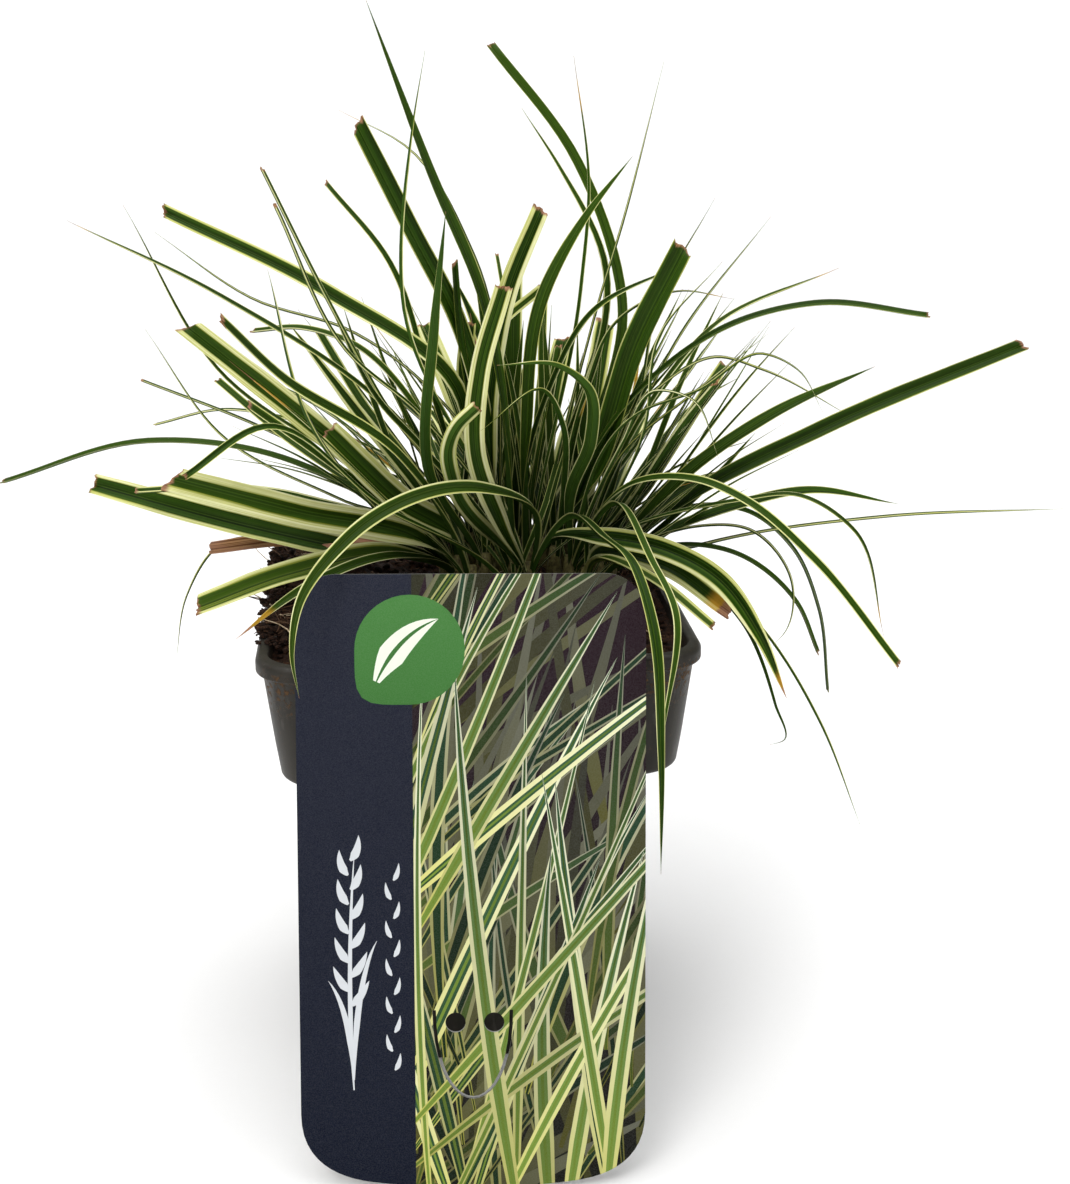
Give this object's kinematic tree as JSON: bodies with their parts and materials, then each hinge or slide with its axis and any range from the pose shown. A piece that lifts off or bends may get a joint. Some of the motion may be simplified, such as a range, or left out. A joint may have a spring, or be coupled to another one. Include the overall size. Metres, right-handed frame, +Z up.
{
  "type": "potted carex sedge",
  "caption": "Variegated grass-like sedge in a square nursery pot: arching striped leaves from a tufted crown, filled with peat, with a plant label leaning on the rim.",
  "frame": {"origin": "middle of the pot's flat base, on the surface that it stands on", "axes": "+Z up, -Y towards the side where the plant label stands, +X to the right when the label faces the viewer; the pot's walls lie along X and Y at the rim"},
  "size_m": [0.2346, 0.1554, 0.223],
  "materials": {
    "pot": "satin moulded plastic, taupe grey",
    "soil": "dark fibrous peat",
    "leaf": "finely ribbed leaf, dark green with cream margins",
    "label": "printed plastic card, semi gloss"
  },
  "bodies": {
    "root": {"pot": "pot", "soil": "soil", "plant_label": "label", "tiller_01": "leaf", "tiller_02": "leaf", "tiller_03": "leaf", "tiller_04": "leaf", "tiller_05": "leaf", "tiller_06": "leaf", "tiller_07": "leaf", "tiller_08": "leaf", "tiller_09": "leaf", "tiller_10": "leaf", "tiller_11": "leaf", "tiller_12": "leaf", "tiller_13": "leaf", "tiller_14": "leaf", "tiller_15": "leaf", "tiller_16": "leaf", "tiller_17": "leaf", "tiller_18": "leaf", "tiller_19": "leaf", "tiller_20": "leaf", "tiller_21": "leaf", "tiller_22": "leaf", "tiller_23": "leaf", "tiller_24": "leaf", "tiller_25": "leaf", "tiller_26": "leaf", "tiller_27": "leaf"}
  },
  "joints": []
}
